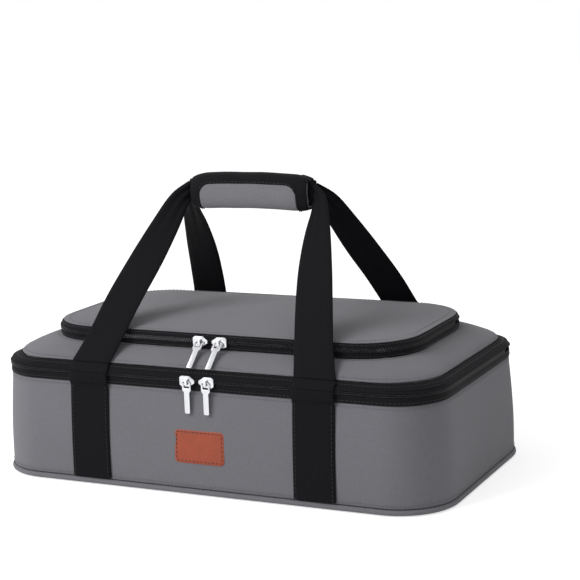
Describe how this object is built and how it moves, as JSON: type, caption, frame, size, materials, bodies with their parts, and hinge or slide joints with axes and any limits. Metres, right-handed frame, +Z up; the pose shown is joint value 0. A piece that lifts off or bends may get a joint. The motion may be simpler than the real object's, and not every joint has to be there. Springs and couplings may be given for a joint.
{
  "type": "casserole carrier",
  "caption": "Insulated soft casserole carrier with stacked zipped compartments, foil linings, webbing handles joined by a padded grip sleeve, and a bare leather label.",
  "frame": {"origin": "centre of the underside of the base panel, on the surface that the carrier stands on", "axes": "+X along the length of the box, to the right seen from the front; +Y from the front, which has the label and the zip pulls, to the rear hinges; +Z up"},
  "size_m": [0.4258, 0.2406, 0.258],
  "materials": {
    "grey_fabric": "matte",
    "black_fabric": "matte",
    "silver_foil": "satin",
    "pale_foam": "matte",
    "stiff_board": "matte",
    "brown_leather": "satin",
    "chrome": "polished"
  },
  "bodies": {
    "body": {"base_panel": "grey_fabric", "base_board": "stiff_board", "base_foam": "pale_foam", "bottom_piping": "grey_fabric", "body_wall": "grey_fabric", "body_foam": "pale_foam", "body_lining": "silver_foil", "body_floor_lining": "silver_foil", "body_rim_binding": "black_fabric", "body_zip_tape": "black_fabric", "body_zip_teeth": "black_fabric", "main_hinge_tape": "black_fabric", "leather_label": "brown_leather", "front_strap_left_sewn": "black_fabric", "front_strap_right_sewn": "black_fabric", "rear_strap_left_sewn": "black_fabric", "rear_strap_right_sewn": "black_fabric"},
    "lid": {"lid_zip_teeth": "black_fabric", "lid_zip_tape": "black_fabric", "lid_rim_binding": "black_fabric", "lid_lining": "silver_foil", "divider_foam": "pale_foam", "divider_lining": "silver_foil", "lid_shoulder": "grey_fabric", "upper_zip_tape": "black_fabric", "upper_zip_teeth": "black_fabric", "lid_hinge_tape": "black_fabric", "upper_hinge_tape": "black_fabric"},
    "top_lid": {"top_lid_zip_teeth": "black_fabric", "top_lid_zip_tape": "black_fabric", "top_lid_panel": "grey_fabric", "top_lid_foam": "pale_foam", "top_lid_lining": "silver_foil", "top_lid_hinge_tape": "black_fabric"},
    "front_fold": {"front_strap_left_fold": "black_fabric", "front_strap_right_fold": "black_fabric", "front_strap_left_bend": "black_fabric", "front_strap_right_bend": "black_fabric"},
    "front_bend": {"front_strap_left": "black_fabric", "front_strap_right": "black_fabric"},
    "front_handle": {"front_grip_webbing": "black_fabric"},
    "grip_flap": {"grip_flap": "grey_fabric"},
    "rear_fold": {"rear_strap_left_fold": "black_fabric", "rear_strap_right_fold": "black_fabric", "rear_strap_left_bend": "black_fabric", "rear_strap_right_bend": "black_fabric"},
    "rear_bend": {"rear_strap_left": "black_fabric", "rear_strap_right": "black_fabric"},
    "rear_handle": {"rear_grip_webbing": "black_fabric", "grip_wrap": "grey_fabric"},
    "lower_left_slider": {"lower_left_slider": "chrome"},
    "lower_left_pull": {"lower_left_pull": "chrome"},
    "lower_right_slider": {"lower_right_slider": "chrome"},
    "lower_right_pull": {"lower_right_pull": "chrome"},
    "upper_left_slider": {"upper_left_slider": "chrome"},
    "upper_left_pull": {"upper_left_pull": "chrome"},
    "upper_right_slider": {"upper_right_slider": "chrome"},
    "upper_right_pull": {"upper_right_pull": "chrome"}
  },
  "joints": [
    {"name": "main_lid_hinge", "type": "hinge", "parent": "body", "child": "lid", "pos_m": [0, 0.1171, 0.0983], "axis": [-1, 0, 0], "range_deg": [0, 100]},
    {"name": "top_lid_hinge", "type": "hinge", "parent": "lid", "child": "top_lid", "pos_m": [0, 0.0905, 0.1267], "axis": [-1, 0, 0], "range_deg": [0, 100]},
    {"name": "front_handle_drop", "type": "hinge", "parent": "body", "child": "front_fold", "pos_m": [0, -0.119, 0.0908], "axis": [-1, 0, 0], "range_deg": [-150, 0], "deforming": ["front_strap_left_fold", "front_strap_right_fold"]},
    {"name": "front_strap_bend", "type": "hinge", "parent": "front_fold", "child": "front_bend", "pos_m": [0, -0.119, 0.0992], "axis": [1, 0, 0], "range_deg": [0, 100], "deforming": ["front_strap_left_bend", "front_strap_right_bend"]},
    {"name": "front_strap_curl", "type": "hinge", "parent": "front_bend", "child": "front_handle", "pos_m": [0, -0.1128, 0.1072], "axis": [1, 0, 0], "range_deg": [0, 56], "deforming": ["front_strap_left", "front_strap_right"]},
    {"name": "rear_handle_drop", "type": "hinge", "parent": "body", "child": "rear_fold", "pos_m": [0, 0.119, 0.0908], "axis": [1, 0, 0], "range_deg": [-150, 0], "deforming": ["rear_strap_left_fold", "rear_strap_right_fold"]},
    {"name": "rear_strap_bend", "type": "hinge", "parent": "rear_fold", "child": "rear_bend", "pos_m": [0, 0.119, 0.0992], "axis": [-1, 0, 0], "range_deg": [0, 100], "deforming": ["rear_strap_left_bend", "rear_strap_right_bend"]},
    {"name": "rear_strap_curl", "type": "hinge", "parent": "rear_bend", "child": "rear_handle", "pos_m": [0, 0.1128, 0.1072], "axis": [-1, 0, 0], "range_deg": [0, 56], "deforming": ["rear_strap_left", "rear_strap_right"]},
    {"name": "grip_flap_hinge", "type": "hinge", "parent": "front_handle", "child": "grip_flap", "pos_m": [0, -0.0004, 0.227], "axis": [1, 0, 0], "range_deg": [0, 110]},
    {"name": "lower_left_slider_travel", "type": "slide", "parent": "body", "child": "lower_left_slider", "axis": [-1, 0, 0], "range_m": [0, 0.062]},
    {"name": "lower_left_pull_swing", "type": "hinge", "parent": "lower_left_slider", "child": "lower_left_pull", "pos_m": [-0.009, -0.1183, 0.0983], "axis": [-1, 0, 0], "range_deg": [0, 150]},
    {"name": "lower_right_slider_travel", "type": "slide", "parent": "body", "child": "lower_right_slider", "axis": [1, 0, 0], "range_m": [0, 0.062]},
    {"name": "lower_right_pull_swing", "type": "hinge", "parent": "lower_right_slider", "child": "lower_right_pull", "pos_m": [0.009, -0.1183, 0.0983], "axis": [-1, 0, 0], "range_deg": [0, 150]},
    {"name": "upper_left_slider_travel", "type": "slide", "parent": "lid", "child": "upper_left_slider", "axis": [-1, 0, 0], "range_m": [0, 0.062]},
    {"name": "upper_left_pull_swing", "type": "hinge", "parent": "upper_left_slider", "child": "upper_left_pull", "pos_m": [-0.009, -0.0923, 0.1267], "axis": [-1, 0, 0], "range_deg": [0, 100]},
    {"name": "upper_right_slider_travel", "type": "slide", "parent": "lid", "child": "upper_right_slider", "axis": [1, 0, 0], "range_m": [0, 0.062]},
    {"name": "upper_right_pull_swing", "type": "hinge", "parent": "upper_right_slider", "child": "upper_right_pull", "pos_m": [0.009, -0.0923, 0.1267], "axis": [-1, 0, 0], "range_deg": [0, 100]}
  ],
  "couplings": [
    {"joint": "front_strap_bend", "follows": "main_lid_hinge", "ratio": 1},
    {"joint": "front_strap_curl", "follows": "top_lid_hinge", "ratio": 0.56},
    {"joint": "rear_strap_bend", "follows": "main_lid_hinge", "ratio": 1},
    {"joint": "rear_strap_curl", "follows": "top_lid_hinge", "ratio": 0.56}
  ]
}
